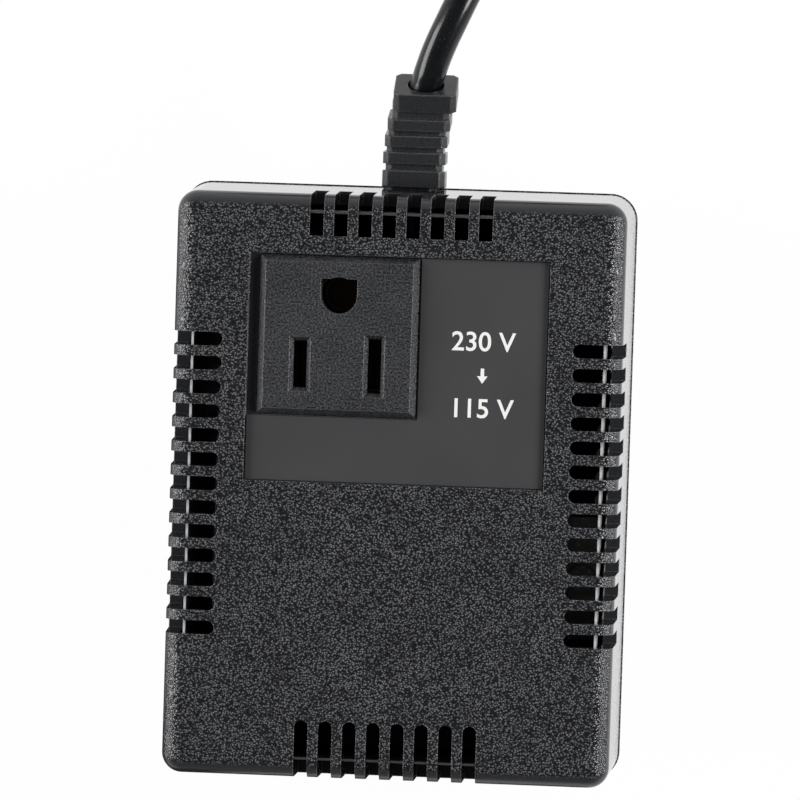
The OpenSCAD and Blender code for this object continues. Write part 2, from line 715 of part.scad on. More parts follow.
module rear_cover() {
    color("#1f2123")
        difference() {
            union() {
                difference() {
                    // Set back a little under the joint, which leaves a shadow groove
                    translate([0, 0, joint_z])
                        mirror([0, 0, 1])
                            drafted_block(
                                rear_w, rear_l, rear_h, case_corner_r + rim_step, edge_r, groove_d, groove_h
                            );
                    translate([0, 0, joint_z])
                        mirror([0, 0, 1])
                            drafted_block(
                                case_w - 2 * wall, case_l - 2 * wall, rear_h - wall,
                                cavity_corner_r, cavity_edge_r
                            );
                    rear_vents();
                }
                translate([0, 0, joint_z - join])
                    round_ring(tongue_w, tongue_l, tongue_h + join, tongue_r, tongue_t);
                at_case_screws() {
                    translate([0, 0, floor_z - join])
                        cylinder(h = well_d + web_t - wall + join, r = pillar_r);
                    translate([0, 0, floor_z - join]) cylinder(h = joint_z - floor_z + join, r = post_r);
                }
                // Seats under the core and under its frame's feet
                for (x = [-2.5 * lam, 2.5 * lam])
                    translate([x - lam / 4, core_y - stack / 3, floor_z - join])
                        cube([lam / 2, stack * 2 / 3, core_lift + join]);
                at_frame_holes() translate([0, 0, floor_z - join])
                    cylinder(h = core_lift + join, r = frame_seat_r);
            }
            at_case_screws() {
                translate([0, 0, foot_out - join]) cylinder(h = well_d + join, r = head_d / 2 + head_gap);
                translate([0, 0, seat_z - join]) cylinder(h = rear_h, r = screw_d / 2 + screw_gap);
            }
            at_frame_holes()
                translate([0, 0, core_z + frame_t - small_screw_l - 0.2])
                    cylinder(h = small_screw_l, r = small_screw_d / 2 + screw_gap);
            at_feet() translate([0, 0, foot_out - join])
                cylinder(h = foot_in + join, d = foot_d + 2 * screw_gap);
            neck_opening();
        }
}

// An L-shaped plate that fills the recess below and to the right of the outlet block
module rating_label() {
    left = -recess_w / 2 + label_gap;
    right = recess_w / 2 - label_gap;
    low = recess_y - recess_l / 2 + label_gap;
    high = recess_y + recess_l / 2 - label_gap;
    block_right = outlet_x + block_base / 2 + block_gap + label_gap;
    block_low = outlet_y - block_base / 2 - block_gap - label_gap;
    color("#454648")
        translate([0, 0, recess_z])
            linear_extrude(label_t)
                polygon([
                    [left, low], [right, low], [right, high], [block_right, high],
                    [block_right, block_low], [left, block_low]
                ]);
}

// A pan-head screw standing on its head, with a crossed recess in the head
module pan_screw(d, l, cap_d, cap_h) {
    difference() {
        union() {
            cylinder(h = l, d = d);
            translate([0, 0, -cap_h]) cylinder(h = cap_h, d = cap_d);
        }
        for (turn = [0, 90])
            rotate(turn)
                translate([-cap_d * 0.3, -cap_d * 0.08, -cap_h - join])
                    cube([cap_d * 0.6, cap_d * 0.16, cap_h / 2 + join]);
    }
}

module housing_screws() {
    color("#8f9194")
        at_case_screws() translate([0, 0, seat_z]) pan_screw(screw_d, screw_l, head_d, head_h);
}

module rubber_feet() {
    color("#151515")
        at_feet() {
            translate([0, 0, foot_in]) cylinder(h = foot_out, d = foot_d);
            cylinder(h = foot_in, d1 = foot_d - foot_in, d2 = foot_d);
        }
}

module ground_hole_shape(w, flat) {
    circle(d = w);
    translate([-w / 2, 0]) square([w, flat]);
}

module blade_slot(x, l) {
    through = block_z - carrier_top + 2 * join;
    over = 1.5;
    translate([x, blade_y, carrier_top - join])
        translate([-blade_slot_w / 2, -l / 2, 0]) cube([blade_slot_w, l, through]);
    translate([x, blade_y, block_z - lead_in_d])
        frustum(
            blade_slot_w, l, blade_slot_w + 2 * lead_in * over, l + 2 * lead_in * over, lead_in_d * over
        );
}

module outlet_face() {
    color("#2b2d2f")
        difference() {
            union() {
                translate([outlet_x, outlet_y, recess_z])
                    frustum(block_base, block_base, block_face, block_face, block_z - recess_z);
                translate([outlet_x - block_base / 2, outlet_y - block_base / 2, carrier_top])
                    cube([block_base, block_base, recess_z - carrier_top]);
                translate([outlet_x - flange_w / 2, outlet_y - flange_w / 2, carrier_top])
                    cube([flange_w, flange_w, flange_t]);
            }
            blade_slot(line_x, line_slot_l);
            blade_slot(neutral_x, neutral_slot_l);
            translate([outlet_x, ground_y, carrier_top - join])
                linear_extrude(block_z - carrier_top + 2 * join) ground_hole_shape(ground_hole_w, ground_flat);
        }
}

module contact_carrier() {
    pocket_h = carrier_h - carrier_floor + join;
    color("#2a2b2d")
        difference() {
            union() {
                translate([outlet_x - block_base / 2, outlet_y - block_base / 2, carrier_z])
                    cube([block_base, block_base, carrier_h]);
                for (x = ear_x) {
                    translate([x, ear_y, ear_z]) cylinder(h = ear_t, r = ear_r);
                    translate([min(x, outlet_x), ear_y - ear_r, ear_z]) cube([ear_dx, 2 * ear_r, ear_t]);
                }
            }
            for (x = [line_x, neutral_x]) {
                translate([x - clip_w / 2 - contact_gap, blade_y - strip_w / 2 - contact_gap, contact_z])
                    cube([clip_w + 2 * contact_gap, strip_w + 2 * contact_gap, pocket_h]);
                translate([x - strip_t / 2 - screw_gap, blade_y - tail_w / 2 - screw_gap, carrier_z - join])
                    cube([strip_t + 2 * screw_gap, tail_w + 2 * screw_gap, carrier_floor + 2 * join]);
            }
            translate([outlet_x, ground_y, contact_z]) cylinder(h = pocket_h, r = sleeve_r + contact_gap);
            translate([outlet_x - strip_t / 2 - screw_gap, ground_y - tail_w / 2 - screw_gap, carrier_z - join])
                cube([strip_t + 2 * screw_gap, tail_w + 2 * screw_gap, carrier_floor + 2 * join]);
            at_ears() translate([0, 0, ear_z - join])
                cylinder(h = ear_t + 2 * join, r = small_screw_d / 2 + screw_gap);
        }
}

module carrier_screws() {
    color("#a2a4a6")
        at_ears() translate([0, 0, ear_z]) pan_screw(small_screw_d, small_screw_l, small_head_d, small_head_h);
}

// Two leaves on a bridge, with a solder tail under it
module blade_contact(x) {
    translate([x, blade_y, contact_z]) {
        translate([-clip_w / 2, -strip_w / 2, 0]) cube([clip_w, strip_w, strip_t]);
        for (side = [-1, 1])
            translate([side * (blade_t + strip_t) / 2 - strip_t / 2, -strip_w / 2, 0])
                cube([strip_t, strip_w, leaf_h]);
        translate([-strip_t / 2, -tail_w / 2, tail_z - contact_z])
            cube([strip_t, tail_w, contact_z - tail_z + join]);
    }
}

module line_contact() {
    color("#c8a050") blade_contact(line_x);
}

module neutral_contact() {
    color("#c8a050") blade_contact(neutral_x);
}

module ground_contact() {
    color("#c8a050")
        translate([outlet_x, ground_y, contact_z]) {
            difference() {
                cylinder(h = leaf_h, r = sleeve_r);
                translate([0, 0, strip_t]) cylinder(h = leaf_h, d = sleeve_d);
            }
            translate([-strip_t / 2, -tail_w / 2, tail_z - contact_z])
                cube([strip_t, tail_w, contact_z - tail_z + strip_t / 2]);
        }
}

// A band of pressboard that stands on the case floor, open where the cord comes in
module insulating_liner() {
    open_w = neck_w + 2 * stop_lip + 1;
    open_h = neck_h + 2 * stop_lip + 1;
    color("#d8d5cb")
        difference() {
            translate([0, 0, floor_z])
                round_ring(liner_w, liner_l, plate_z - floor_z - liner_gap, liner_r, liner_t);
            translate([-open_w / 2, liner_l / 2 - 2, joint_z - open_h / 2]) cube([open_w, 4, open_h]);
        }
}

module core_e_laminations() {
    color("#7d8084")
        translate([0, core_y, core_z])
            rotate([90, 0, 0])
                linear_extrude(stack, center = true)
                    difference() {
                        translate([-3 * lam, 0]) square([6 * lam, 4 * lam]);
                        for (x = [-2 * lam, lam])
                            translate([x, lam]) square([lam, 3 * lam + join]);
                    }
}

module core_i_laminations() {
    color("#74777b")
        translate([-3 * lam, core_y - stack / 2, core_z + 4 * lam]) cube([6 * lam, stack, lam]);
}

// A strap over the core with a foot on each side
module core_frame() {
    out = frame_x + frame_t;
    top = core_top + core_gap;
    color("#b4b7ba")
        difference() {
            translate([0, core_y, 0])
                rotate([90, 0, 0])
                    linear_extrude(frame_w, center = true)
                        polygon([
                            [-out - frame_foot + frame_t, core_z], [-frame_x, core_z], [-frame_x, top],
                            [frame_x, top], [frame_x, core_z], [out + frame_foot - frame_t, core_z],
                            [out + frame_foot - frame_t, core_z + frame_t], [out, core_z + frame_t],
                            [out, top + frame_t], [-out, top + frame_t], [-out, core_z + frame_t],
                            [-out - frame_foot + frame_t, core_z + frame_t]
                        ]);
            at_frame_holes() translate([0, 0, core_z - join])
                cylinder(h = frame_t + 2 * join, r = small_screw_d / 2 + screw_gap);
        }
}

module core_frame_screws() {
    color("#a2a4a6")
        at_frame_holes()
            translate([0, 0, core_z + frame_t])
                mirror([0, 0, 1]) pan_screw(small_screw_d, small_screw_l, small_head_d, small_head_h);
}

module bobbin() {
    flange_x = 2 * lam - bobbin_gap;
    flange_y = stack / 2 + bobbin_reach;
    color("#1c1c1e")
        difference() {
            translate([0, core_y, bobbin_z]) {
                translate([-tube_x, -tube_y, 0]) cube([2 * tube_x, 2 * tube_y, bobbin_h]);
                for (z = [0, bobbin_h - bobbin_flange_t])
                    translate([-flange_x, -flange_y, z]) cube([2 * flange_x, 2 * flange_y, bobbin_flange_t]);
            }
            translate([-lam - bobbin_gap, core_y - stack / 2 - bobbin_gap, bobbin_z - join])
                cube([2 * (lam + bobbin_gap), stack + 2 * bobbin_gap, bobbin_h + 2 * join]);
            for (x = pin_x)
                translate([x, pin_y, flange_top - bobbin_flange_t - join])
                    cylinder(h = bobbin_flange_t + 2 * join, r = pin_d / 2 + screw_gap);
        }
}

module winding() {
    r = 4;
    color("#a4582c")
        translate([0, core_y, wound_z + core_gap])
            difference() {
                round_block(2 * wound_x, 2 * wound_y, wound_h - 2 * core_gap, r);
                translate([-tube_x - core_gap, -tube_y - core_gap, -join])
                    cube([2 * (tube_x + core_gap), 2 * (tube_y + core_gap), wound_h + 2 * join]);
            }
}

module winding_tape() {
    r = 4;
    out = tape_t + core_gap;
    color("#d9b23c")
        translate([0, core_y, wound_z + 2 * core_gap])
            round_ring(
                2 * (wound_x + out), 2 * (wound_y + out), wound_h - 4 * core_gap, r + out, tape_t
            );
}

module terminal_pins() {
    color("#c4c6c8")
        for (x = pin_x)
            translate([x, pin_y, flange_top - bobbin_flange_t])
                cylinder(h = bobbin_flange_t + pin_h, d = pin_d);
}

module thermal_protector() {
    r = 0.8;
    color("#e6e2d6")
        translate([protector_x, protector_y + protector_t / 2, protector_z])
            round_block(protector_w, protector_t, protector_l, r);
}

module live_lead() {
    start = [wire_offset, sheath_y, joint_z];
    end = [protector_x, protector_y + protector_t / 2, protector_z];
    color("#7a4a2a")
        tube(
            concat(steps_from(start, live_start), steps_from(end, live_finish), steps_from(end, lead_end)),
            lead_d, 8
        );
}

module neutral_lead() {
    start = [-wire_offset, sheath_y, joint_z];
    corner = [protector_x - protector_w / 2, protector_y + protector_t, protector_top];
    end = pin_tip(1);
    color("#2d5fa8")
        tube(
            concat(
                steps_from(start, neutral_start), steps_from(corner, neutral_past_protector),
                steps_from(end, neutral_finish), steps_from(end, pin_loop)
            ),
            lead_d, 8
        );
}

module protector_lead() {
    start = [protector_x, protector_y + protector_t / 2, protector_top];
    end = pin_tip(3);
    rise = end.z - start.z;
    color("#b03028")
        tube(
            concat(
                [for (step = protector_start) start + [step.x, step.y, step.z * rise]],
                steps_from(end, protector_finish), steps_from(end, pin_loop)
            ),
            lead_d, 8
        );
}

// From a terminal pin to the tail of a contact
module output_lead(pin, contact_x, start, finish) {
    end = [contact_x, blade_y, tail_z];
    tube(
        concat(
            backwards(steps_from(pin_tip(pin), pin_loop)), steps_from(pin_tip(pin), start),
            steps_from(end, finish), steps_from(end, lead_end)
        ),
        lead_d, 8
    );
}

module output_line_lead() {
    color("#b03028") output_lead(2, line_x, line_start, line_finish);
}

module output_neutral_lead() {
    color("#e8e6e0") output_lead(0, neutral_x, output_neutral_start, output_neutral_finish);
}

module cord_inner_end() {
    color("#161718")
        translate([0, stop_y, joint_z]) rotate([90, 0, 0]) cylinder(h = sheath_in, d = cord_d);
}

// A slab of the boot's section, from here along +Y
module boot_slab(l, w, d) {
    c = min(boot_chamfer, d / 3);
    x = w / 2;
    y = d / 2;
    rotate([-90, 0, 0])
        linear_extrude(l)
            polygon([
                [-x + c, -y], [x - c, -y], [x, -y + c], [x, y - c],
                [x - c, y], [-x + c, y], [-x, y - c], [-x, -y + c]
            ]);
}

// Moves a piece a distance along the bent part of the boot, with its middle on the boot's line
module along_boot(distance, l) {
    translate([boot_x(distance + l / 2), boot_y + boot_base, joint_z + boot_arc_r])
        rotate([boot_bend * distance / boot_arc_l, 0, 0])
            translate([0, 0, -boot_arc_r]) children();
}

module strain_relief() {
    inner_w = boot_w - 2 * boot_groove;
    inner_d = boot_d - 2 * boot_groove;
    groove_l = rib_pitch - rib_l;
    cut_l = 2;
    color("#1a1b1c")
        difference() {
            union() {
                translate([0, stop_y, joint_z])
                    boot_slab(stop_t, neck_w + 2 * stop_lip, neck_h + 2 * stop_lip);
                translate([0, stop_y + stop_t - join, joint_z])
                    boot_slab(boot_y - stop_y - stop_t + 2 * join, neck_w, neck_h);
                translate([boot_side, boot_y + rim_step + screw_gap, joint_z])
                    boot_slab(boot_base - rim_step - screw_gap, boot_w, boot_d);
                for (i = [0:ribs - 1]) {
                    along_boot(i * rib_pitch - join, groove_l)
                        boot_slab(groove_l + 2 * join, inner_w, inner_d);
                    along_boot(i * rib_pitch + groove_l, rib_l) boot_slab(rib_l, boot_w, boot_d);
                }
                along_boot(ribs * rib_pitch - join, end_groove)
                    boot_slab(end_groove + 3 * join, inner_w, inner_d);
                along_boot(boot_arc_l, -collar_l) mirror([0, 1, 0]) boot_slab(collar_l, boot_w, boot_d);
            }
            translate(cord_start)
                rotate([0, acos(boot_way.z), atan2(boot_way.y, boot_way.x)])
                    cylinder(h = bore_l + cut_l, d = cord_d + 2 * bore_gap);
        }
}

module cord_lead() {
    color("#161718")
        tube(
            concat(
                [cord_start], [for (s = boot_straight) boot_tip + s * boot_way],
                steps_from([0, boot_y, 0], cord_turns), [coil_start - landing * coil_way(0), coil_start]
            ),
            cord_d, 8
        );
}

module cord_coil() {
    color("#161718") tube(coil_path, cord_d, 6);
}

// A flat band round all the turns
module coil_tie() {
    inside_w = coil_out - coil_in + cord_d + 2 * tie_gap;
    inside_h = coil_layer + cord_d + 2 * tie_gap;
    mid_r = (coil_out + coil_in) / 2;
    color("#0f0f10")
        translate([coil_centre.x, coil_centre.y, coil_z + coil_layer / 2])
            rotate([0, 0, tie_angle])
                translate([mid_r, 0, 0])
                    rotate([90, 0, 0])
                        translate([0, 0, -tie_w / 2])
                            round_ring(inside_w + 2 * tie_t, inside_h + 2 * tie_t, tie_w, 2, tie_t);
}

module cord_tail() {
    color("#161718") tube(tail_path, cord_d, 8);
}

module at_plug() {
    translate(plug_at) rotate([0, 0, coil_enter + coil_angle]) children();
}

// Outline of the plug's grip from above: a rounded front and shoulders drawn in to the nose
module plug_outline() {
    r = 5;
    hull() {
        for (side = [-1, 1])
            translate([side * (plug_w / 2 - r), nose_l + plug_l - r]) circle(r, $fn = 32);
        for (side = [-1, 1])
            translate([side * (plug_w / 2 - r), nose_l + plug_l / 2]) circle(r, $fn = 32);
        translate([-nose_d / 2, nose_l - 1]) square([nose_d, 1]);
    }
}

module plug_body() {
    grip_l = nose_l + plug_l;
    rings = 3;
    ring_step = 0.8;
    color("#18191a")
        at_plug() {
            intersection() {
                translate([0, 0, -plug_t / 2]) linear_extrude(plug_t) plug_outline();
                rotate([90, 0, 90])
                    linear_extrude(plug_w + 2, center = true)
                        polygon([
                            [nose_l - 1, -nose_d / 2], [nose_l + plug_l / 2, -plug_t / 2],
                            [grip_l, -plug_t / 2],
                            [grip_l, plug_t / 2], [nose_l + plug_l / 2, plug_t / 2], [nose_l - 1, nose_d / 2]
                        ]);
            }
            rotate([-90, 0, 0]) cylinder(h = nose_l, d = nose_d - 2 * ring_step);
            for (i = [0:rings - 1])
                translate([0, i * nose_l / rings, 0]) rotate([-90, 0, 0])
                    cylinder(h = nose_l / rings / 2, d = nose_d);
        }
}

module at_plug_pins() {
    at_plug()
        for (x = [-plug_pin_pitch / 2, plug_pin_pitch / 2])
            translate([x, nose_l + plug_l, 0]) rotate([-90, 0, 0]) children();
}

module plug_pins() {
    tip_l = 1;
    tip_d = plug_pin_d - 1.4;
    color("#c9cbce")
        at_plug_pins() {
            cylinder(h = pin_sleeve_l + join, d = plug_pin_d - 2 * pin_sleeve_t - 2 * screw_gap);
            translate([0, 0, pin_sleeve_l]) cylinder(h = plug_pin_l - pin_sleeve_l - tip_l, d = plug_pin_d);
            translate([0, 0, plug_pin_l - tip_l]) cylinder(h = tip_l, d1 = plug_pin_d, d2 = tip_d);
        }
}

module pin_sleeves() {
    color("#18191a")
        at_plug_pins()
            difference() {
                cylinder(h = pin_sleeve_l, d = plug_pin_d);
                translate([0, 0, -join])
                    cylinder(h = pin_sleeve_l + 2 * join, d = plug_pin_d - 2 * pin_sleeve_t);
            }
}

front_cover();
rear_cover();
rating_label();
housing_screws();
rubber_feet();
outlet_face();
contact_carrier();
carrier_screws();
line_contact();
neutral_contact();
ground_contact();
insulating_liner();
core_e_laminations();
core_i_laminations();
core_frame();
core_frame_screws();
bobbin();
winding();
winding_tape();
terminal_pins();
thermal_protector();
live_lead();
neutral_lead();
protector_lead();
output_line_lead();
output_neutral_lead();
cord_inner_end();
strain_relief();
cord_lead();
cord_coil();
coil_tie();
cord_tail();
plug_body();
plug_pins();
pin_sleeves();
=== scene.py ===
import math

import bmesh
import bpy
from mathutils import Matrix, Vector
from mathutils.geometry import interpolate_bezier


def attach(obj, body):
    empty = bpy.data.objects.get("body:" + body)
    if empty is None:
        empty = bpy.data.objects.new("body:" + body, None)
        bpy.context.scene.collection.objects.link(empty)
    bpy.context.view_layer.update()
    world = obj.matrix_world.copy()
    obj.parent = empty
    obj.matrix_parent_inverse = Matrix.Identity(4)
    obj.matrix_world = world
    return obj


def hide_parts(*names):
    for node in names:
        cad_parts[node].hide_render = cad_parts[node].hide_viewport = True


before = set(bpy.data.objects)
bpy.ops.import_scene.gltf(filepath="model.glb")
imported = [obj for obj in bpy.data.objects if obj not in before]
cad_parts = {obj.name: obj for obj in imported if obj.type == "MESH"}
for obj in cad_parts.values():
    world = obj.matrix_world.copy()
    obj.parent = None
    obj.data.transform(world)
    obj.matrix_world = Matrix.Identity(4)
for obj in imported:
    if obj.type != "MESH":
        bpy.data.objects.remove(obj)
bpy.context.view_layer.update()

scene = bpy.context.scene
millimetre = 0.001
root = "root"


def inMetres(point):
    return Vector(point) * millimetre


def addObject(name, data):
    thing = bpy.data.objects.new(name, data)
    scene.collection.objects.link(thing)
    return thing


# camera: almost straight down on the face, as the photograph is taken
cameraSetup = {
    "place": (59.40, 68.99, 1056.86),
    "looks": (-0.058482, -0.053434, -0.996976),
    "upright": (-0.036125, 0.997122, -0.066650),
    "lens": 265.03,
    "sensor": 36.0,
    "clip": (0.01, 20.0),  # metres
}


def makeCamera():
    data = bpy.data.cameras.new("camera")
    data.lens = cameraSetup["lens"]
    data.sensor_width = cameraSetup["sensor"]
    data.clip_start, data.clip_end = cameraSetup["clip"]
    back = -Vector(cameraSetup["looks"]).normalized()
    across = Vector(cameraSetup["upright"]).cross(back).normalized()
    upright = back.cross(across)
    turn = Matrix((across, upright, back)).transposed().to_4x4()
    camera = addObject("camera", data)
    camera.matrix_world = Matrix.Translation(inMetres(cameraSetup["place"])) @ turn
    scene.camera = camera


makeCamera()
print("camera set")

# cord: one round lead from the boot, down to the floor, round the coil and into the plug
cordShape = {
    "diameter": 5.6,
    "length": 0.90,             # metres
    "bootTip": (2.1022, 69.1128, 32.3283),
    "bootWay": (0.26702, 0.87340, 0.40727),
    "inBoot": 2.4,              # start of the cord, inside the boot's end collar
    "fromTip": (0.5, 3.0),      # first knots outside the boot
    "drop": [
        (4.4, 75.9, 34.5), (6.4, 80.5, 34.8), (8.4, 85.0, 34.3), (10.4, 89.4, 33.0),
        (12.3, 93.5, 30.9), (14.0, 97.2, 28.0), (15.5, 100.4, 24.4), (16.6, 103.0, 20.3),
        (17.7, 105.3, 16.0), (19.0, 108.1, 12.1), (20.6, 111.5, 8.9), (22.3, 115.4, 6.3),
        (24.3, 119.7, 4.4),
    ],
    "landing": 3.0,             # last knot before the run into the coil
    "straight": 5.6,            # straight run at both ends of the coil
    "coilCentre": (-4.0, 148.0),
    "enters": -25.0,            # degrees, like the next four
    "turned": 1505.0,           # both layers together
    "knotEvery": 15.0,
    "loweredUntil": 662.5,      # end of the lower layer, which runs inwards
    "climb": 180.0,             # from there up to the second layer, which runs outwards
    "outerRadius": 37.533,
    "innerRadius": 24.467,
    "pitch": 7.1,
    "lowHeight": 3.3,
    "layer": 6.6,
    "tail": 20.0,
    "tailKnots": (0.0, 0.15, 0.3, 0.5, 0.7, 0.85, 1.0),
    "tailSinks": (0.15, 0.85),  # share of the tail in which it comes down to the plug
    "plugHeight": 6.85,
    "smoothness": 7,
    "roundness": 6,
    "pathSteps": 5,             # points of the path from knot to knot
}


def eased(share):  # from 0 to 1, slow at both ends
    share = min(1.0, max(0.0, share))
    return (1 - math.cos(math.pi * share)) / 2


def coilPoint(turned):
    shape = cordShape
    climbed = turned - shape["loweredUntil"]
    radius = shape["innerRadius"]
    if climbed < 0:
        radius = shape["outerRadius"] - shape["pitch"] * turned / 360
    elif climbed > shape["climb"]:
        radius += shape["pitch"] * (climbed - shape["climb"]) / 360
    height = shape["lowHeight"] + shape["layer"] * eased(climbed / shape["climb"])
    angle = math.radians(shape["enters"] + turned)
    x, y = shape["coilCentre"]
    return Vector((x + radius * math.cos(angle), y + radius * math.sin(angle), height))


def coilWay(turned):
    angle = math.radians(cordShape["enters"] + turned)
    return Vector((-math.sin(angle), math.cos(angle), 0))


def cordPoints():
    shape = cordShape
    tip = Vector(shape["bootTip"])
    way = Vector(shape["bootWay"])
    points = [tip - shape["inBoot"] * way] + [tip + out * way for out in shape["fromTip"]]
    points += [Vector(p) for p in shape["drop"]]
    coilStart = coilPoint(0) - shape["straight"] * coilWay(0)
    points += [coilStart - shape["landing"] * coilWay(0), coilStart]
    steps = math.ceil(shape["turned"] / shape["knotEvery"])
    points += [coilPoint(shape["turned"] * i / steps) for i in range(steps + 1)]
    leaves = coilWay(shape["turned"])
    coilEnd = coilPoint(shape["turned"]) + shape["straight"] * leaves
    sink = coilEnd.z - shape["plugHeight"]
    first, last = shape["tailSinks"]
    for along in shape["tailKnots"]:
        down = sink * eased((along - first) / (last - first))
        points.append(coilEnd + along * shape["tail"] * leaves - Vector((0, 0, down)))
    return points


def makeCord():
    route = bpy.data.curves.new("cord_route", "CURVE")
    route.dimensions = "3D"
    route.bevel_depth = cordShape["diameter"] / 2 * millimetre
    route.bevel_resolution = cordShape["roundness"]
    route.resolution_u = cordShape["smoothness"]
    route.use_fill_caps = True
    points = cordPoints()
    spline = route.splines.new("BEZIER")
    spline.bezier_points.add(len(points) - 1)
    for knot, point in zip(spline.bezier_points, points):
        knot.co = inMetres(point)
        knot.handle_left_type = knot.handle_right_type = "AUTO"
    guide = addObject("cord_route", route)
    bpy.context.view_layer.update()
    laid = guide.evaluated_get(bpy.context.evaluated_depsgraph_get())
    sheath = bpy.data.meshes.new_from_object(laid)
    sheath.name = "power_cord"
    knots = spline.bezier_points
    path = [tuple(knots[0].co)]
    for one, two in zip(knots, knots[1:]):
        span = (one.co, one.handle_right, two.handle_left, two.co)
        path += [tuple(p) for p in interpolate_bezier(*span, cordShape["pathSteps"])[1:]]
    bpy.data.objects.remove(guide)
    bpy.data.curves.remove(route)
    for face in sheath.polygons:
        face.use_smooth = len(face.vertices) == 4  # all but the two end caps
    cord = addObject("power_cord", sheath)
    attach(cord, root)
    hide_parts("cord_lead", "cord_coil", "cord_tail")
    return cord


cord = makeCord()
print("cord laid")

# shader helpers: sizes in millimetres on the real object
noiseSpan = (0.3, 0.7)      # nearly all values of a noise texture
wallToFace = (0.10, 0.80)   # upward part of the normal, from the walls to the face
wornEdge = (0.995, 0.88)    # cosine of the turn where an edge starts to be worn, and is fully worn
wavePeriod = math.pi / 10   # of a wave texture at scale 1


def startFinish(name):
    finish = bpy.data.materials.new(name)
    finish.use_nodes = True
    tree = finish.node_tree
    return finish, tree, tree.nodes["Principled BSDF"], coordinates(tree, "Object")


def coordinates(tree, kind):
    return tree.nodes.new("ShaderNodeTexCoord").outputs[kind]


def parts(tree, vector):
    node = tree.nodes.new("ShaderNodeSeparateXYZ")
    tree.links.new(vector, node.inputs[0])
    return node.outputs


def between(tree, value, low, high, first, last):  # low to high becomes first to last, and no more
    node = tree.nodes.new("ShaderNodeMapRange")
    node.inputs["From Min"].default_value = low
    node.inputs["From Max"].default_value = high
    node.inputs["To Min"].default_value = first
    node.inputs["To Max"].default_value = last
    tree.links.new(value, node.inputs["Value"])
    return node.outputs["Result"]


def weighted(tree, value, weight):
    return between(tree, value, 0.0, 1.0, 0.0, weight)


def reckon(tree, operation, one, two):
    node = tree.nodes.new("ShaderNodeMath")
    node.operation = operation
    tree.links.new(one, node.inputs[0])
    tree.links.new(two, node.inputs[1])
    return node.outputs[0]


def blend(tree, one, two, share):  # the share is the second one's
    return reckon(tree, "ADD", weighted(tree, one, 1.0 - share), weighted(tree, two, share))


def unsigned(tree, value):
    node = tree.nodes.new("ShaderNodeMath")
    node.operation = "ABSOLUTE"
    tree.links.new(value, node.inputs[0])
    return node.outputs[0]


def grain(tree, place, size, detail, stretch=None):
    if stretch:
        mapping = tree.nodes.new("ShaderNodeMapping")
        mapping.inputs["Scale"].default_value = stretch
        tree.links.new(place, mapping.inputs["Vector"])
        place = mapping.outputs["Vector"]
    node = tree.nodes.new("ShaderNodeTexNoise")
    node.inputs["Scale"].default_value = 1.0 / (size * millimetre)
    node.inputs["Detail"].default_value = detail
    tree.links.new(place, node.inputs["Vector"])
    return node.outputs["Fac"]


def bands(tree, place, look):
    node = tree.nodes.new("ShaderNodeTexWave")
    node.wave_type = "BANDS"
    node.bands_direction = look["direction"]
    node.inputs["Scale"].default_value = wavePeriod / (look["pitch"] * millimetre)
    node.inputs["Distortion"].default_value = look["waver"]
    node.inputs["Detail"].default_value = 1.0
    tree.links.new(place, node.inputs["Vector"])
    return node.outputs["Fac"]


def pebbles(tree, place, look):  # 1 on the top of each pebble, 0 in the pits between them
    node = tree.nodes.new("ShaderNodeTexVoronoi")
    node.inputs["Scale"].default_value = 1.0 / (look["grain"] * millimetre)
    node.inputs["Randomness"].default_value = look["uneven"]
    tree.links.new(place, node.inputs["Vector"])
    return between(tree, node.outputs["Distance"], *look["slope"], 1.0, 0.0)


def tint(tree, value, stops, shader):
    node = tree.nodes.new("ShaderNodeValToRGB")
    while len(node.color_ramp.elements) < len(stops):
        node.color_ramp.elements.new(0.5)
    for element, (at, colour) in zip(node.color_ramp.elements, stops):
        element.position = at
        element.color = (*colour, 1.0)
    tree.links.new(value, node.inputs["Fac"])
    tree.links.new(node.outputs["Color"], shader.inputs["Base Color"])


def roughen(tree, value, gloss, shader):
    tree.links.new(between(tree, value, *noiseSpan, *gloss), shader.inputs["Roughness"])


def roundEdges(tree, radius):
    node = tree.nodes.new("ShaderNodeBevel")
    node.inputs["Radius"].default_value = radius * millimetre
    return node.outputs["Normal"]


def emboss(tree, height, depth, under=None):
    node = tree.nodes.new("ShaderNodeBump")
    node.inputs["Strength"].default_value = 1.0
    node.inputs["Distance"].default_value = depth * millimetre
    tree.links.new(height, node.inputs["Height"])
    if under:
        tree.links.new(under, node.inputs["Normal"])
    return node.outputs["Normal"]


def facing(tree, low, high, turn=wallToFace):  # low on the walls, high where a surface looks up
    return between(tree, parts(tree, coordinates(tree, "Normal"))["Z"], *turn, low, high)


def smoothEnds(tree, turn):  # 1 on the face and the sides, 0 on the rounded edges of the two ends
    endward = unsigned(tree, parts(tree, coordinates(tree, "Normal"))["Y"])
    return between(tree, endward, *turn, 1.0, 0.0)


def recessFloor(tree, place, look):  # 1 on the floor of the label recess, where the grain is left out
    level = facing(tree, 0.0, 1.0, look["level"])
    top, bottom = look["recess"]
    height = parts(tree, place)["Z"]
    sunk = between(tree, height, top * millimetre, bottom * millimetre, 0.0, 1.0)
    return reckon(tree, "MULTIPLY", level, sunk)


def alongEdges(tree, rounded):  # 0 on flat faces, 1 where a sharp edge is worn round
    node = tree.nodes.new("ShaderNodeVectorMath")
    node.operation = "DOT_PRODUCT"
    tree.links.new(rounded, node.inputs[0])
    tree.links.new(tree.nodes.new("ShaderNodeNewGeometry").outputs["Normal"], node.inputs[1])
    return between(tree, node.outputs["Value"], *wornEdge, 0.0, 1.0)


